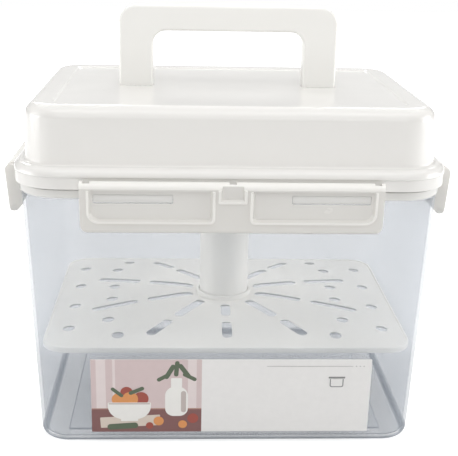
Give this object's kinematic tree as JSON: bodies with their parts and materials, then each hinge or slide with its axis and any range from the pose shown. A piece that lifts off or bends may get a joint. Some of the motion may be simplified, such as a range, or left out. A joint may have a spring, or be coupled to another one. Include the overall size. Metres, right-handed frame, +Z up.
{
  "type": "fermentation container",
  "caption": "Rectangular clear fermentation container with a domed clip-down lid, carry handle and a spring-loaded press plate.",
  "frame": {"origin": "middle of the underside, where the tub stands", "axes": "+Z up, +X to the viewer's right along the long side, -Y towards the front with the label"},
  "size_m": [0.2552, 0.1958, 0.2473],
  "materials": {
    "clear_plastic": "clear, smooth",
    "label_film": "printed film",
    "lid_plastic": "polished moulding",
    "handle_plastic": "satin moulding",
    "flap_plastic": "satin moulding",
    "press_plastic": "satin, slightly translucent",
    "seal_silicone": "soft silicone",
    "spring_steel": "drawn wire"
  },
  "bodies": {
    "tub": {"tub": "clear_plastic", "label": "label_film"},
    "lid": {"lid_shell": "lid_plastic", "lid_gasket": "seal_silicone", "handle": "handle_plastic", "press_guide": "press_plastic", "press_spring": "spring_steel"},
    "front_lock": {"flap_front": "flap_plastic"},
    "back_lock": {"flap_back": "flap_plastic"},
    "left_lock": {"flap_left": "flap_plastic"},
    "right_lock": {"flap_right": "flap_plastic"},
    "press": {"press_plate": "press_plastic", "press_post": "press_plastic", "post_bush": "press_plastic"}
  },
  "joints": [
    {"name": "lid_lift", "type": "slide", "parent": "tub", "child": "lid", "axis": [0, 0, 1], "range_m": [0, 0.17]},
    {"name": "front_lock_hinge", "type": "hinge", "parent": "lid", "child": "front_lock", "pos_m": [0, -0.09392, 0.1594], "axis": [-1, 0, 0], "range_deg": [0, 100]},
    {"name": "back_lock_hinge", "type": "hinge", "parent": "lid", "child": "back_lock", "pos_m": [0, 0.09392, 0.1594], "axis": [1, 0, 0], "range_deg": [0, 100]},
    {"name": "left_lock_hinge", "type": "hinge", "parent": "lid", "child": "left_lock", "pos_m": [-0.12362, 0, 0.1594], "axis": [0, 1, 0], "range_deg": [0, 100]},
    {"name": "right_lock_hinge", "type": "hinge", "parent": "lid", "child": "right_lock", "pos_m": [0.12362, 0, 0.1594], "axis": [0, -1, 0], "range_deg": [0, 100]},
    {"name": "press_slide", "type": "slide", "parent": "lid", "child": "press", "axis": [0, 0, 1], "range_m": [0, 0.045], "stiffness_N_per_m": 300, "springref_m": -0.02, "deforming": ["press_spring"]}
  ]
}
